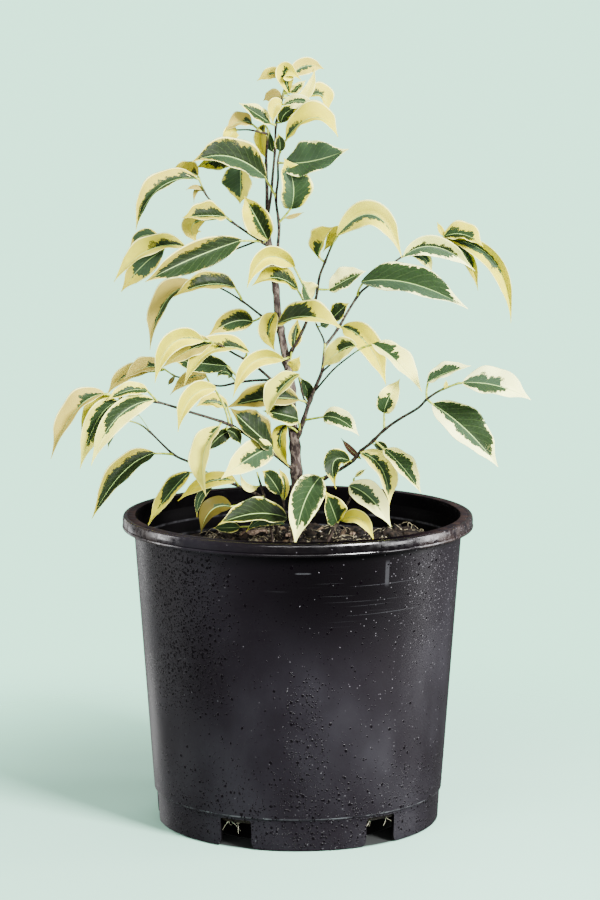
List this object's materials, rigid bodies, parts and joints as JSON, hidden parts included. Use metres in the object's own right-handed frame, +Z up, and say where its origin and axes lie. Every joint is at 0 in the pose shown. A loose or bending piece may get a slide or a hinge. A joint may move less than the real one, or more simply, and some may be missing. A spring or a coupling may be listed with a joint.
{
  "type": "potted weeping fig",
  "caption": "Young weeping fig with cream-edged pointed leaves on arching stems, rooted in a round black nursery pot filled with dark potting mix.",
  "frame": {"origin": "centre of the pot's base, on the surface it stands on", "axes": "+Z up along the pot's axis, -Y towards the front of the plant, +X to its right as seen from the front"},
  "size_m": [0.2733, 0.21, 0.4541],
  "materials": {
    "pot": "black moulded polypropylene, satin, with dried droplet marks and dust",
    "potting_mix": "dark crumbly mix with perlite, fibres and bark chips",
    "bark": "grey-brown young bark with pale mottling",
    "leafy_stem": "glossy leaf, dark green middle with a jagged cream margin, on thin brown twigs"
  },
  "bodies": {
    "root": {"pot": "pot", "potting_mix": "potting_mix", "trunk": "bark", "leading_shoots": "leafy_stem", "upper_front_shoot": "leafy_stem", "upper_left_stem": "leafy_stem", "second_left_stem": "leafy_stem", "middle_left_front_stem": "leafy_stem", "middle_left_back_stem": "leafy_stem", "long_left_stem": "leafy_stem", "low_left_stem": "leafy_stem", "left_foot_shoot": "leafy_stem", "upper_right_stem": "leafy_stem", "long_right_stem": "leafy_stem", "low_right_stem": "leafy_stem", "right_foot_shoot": "leafy_stem"}
  },
  "joints": []
}
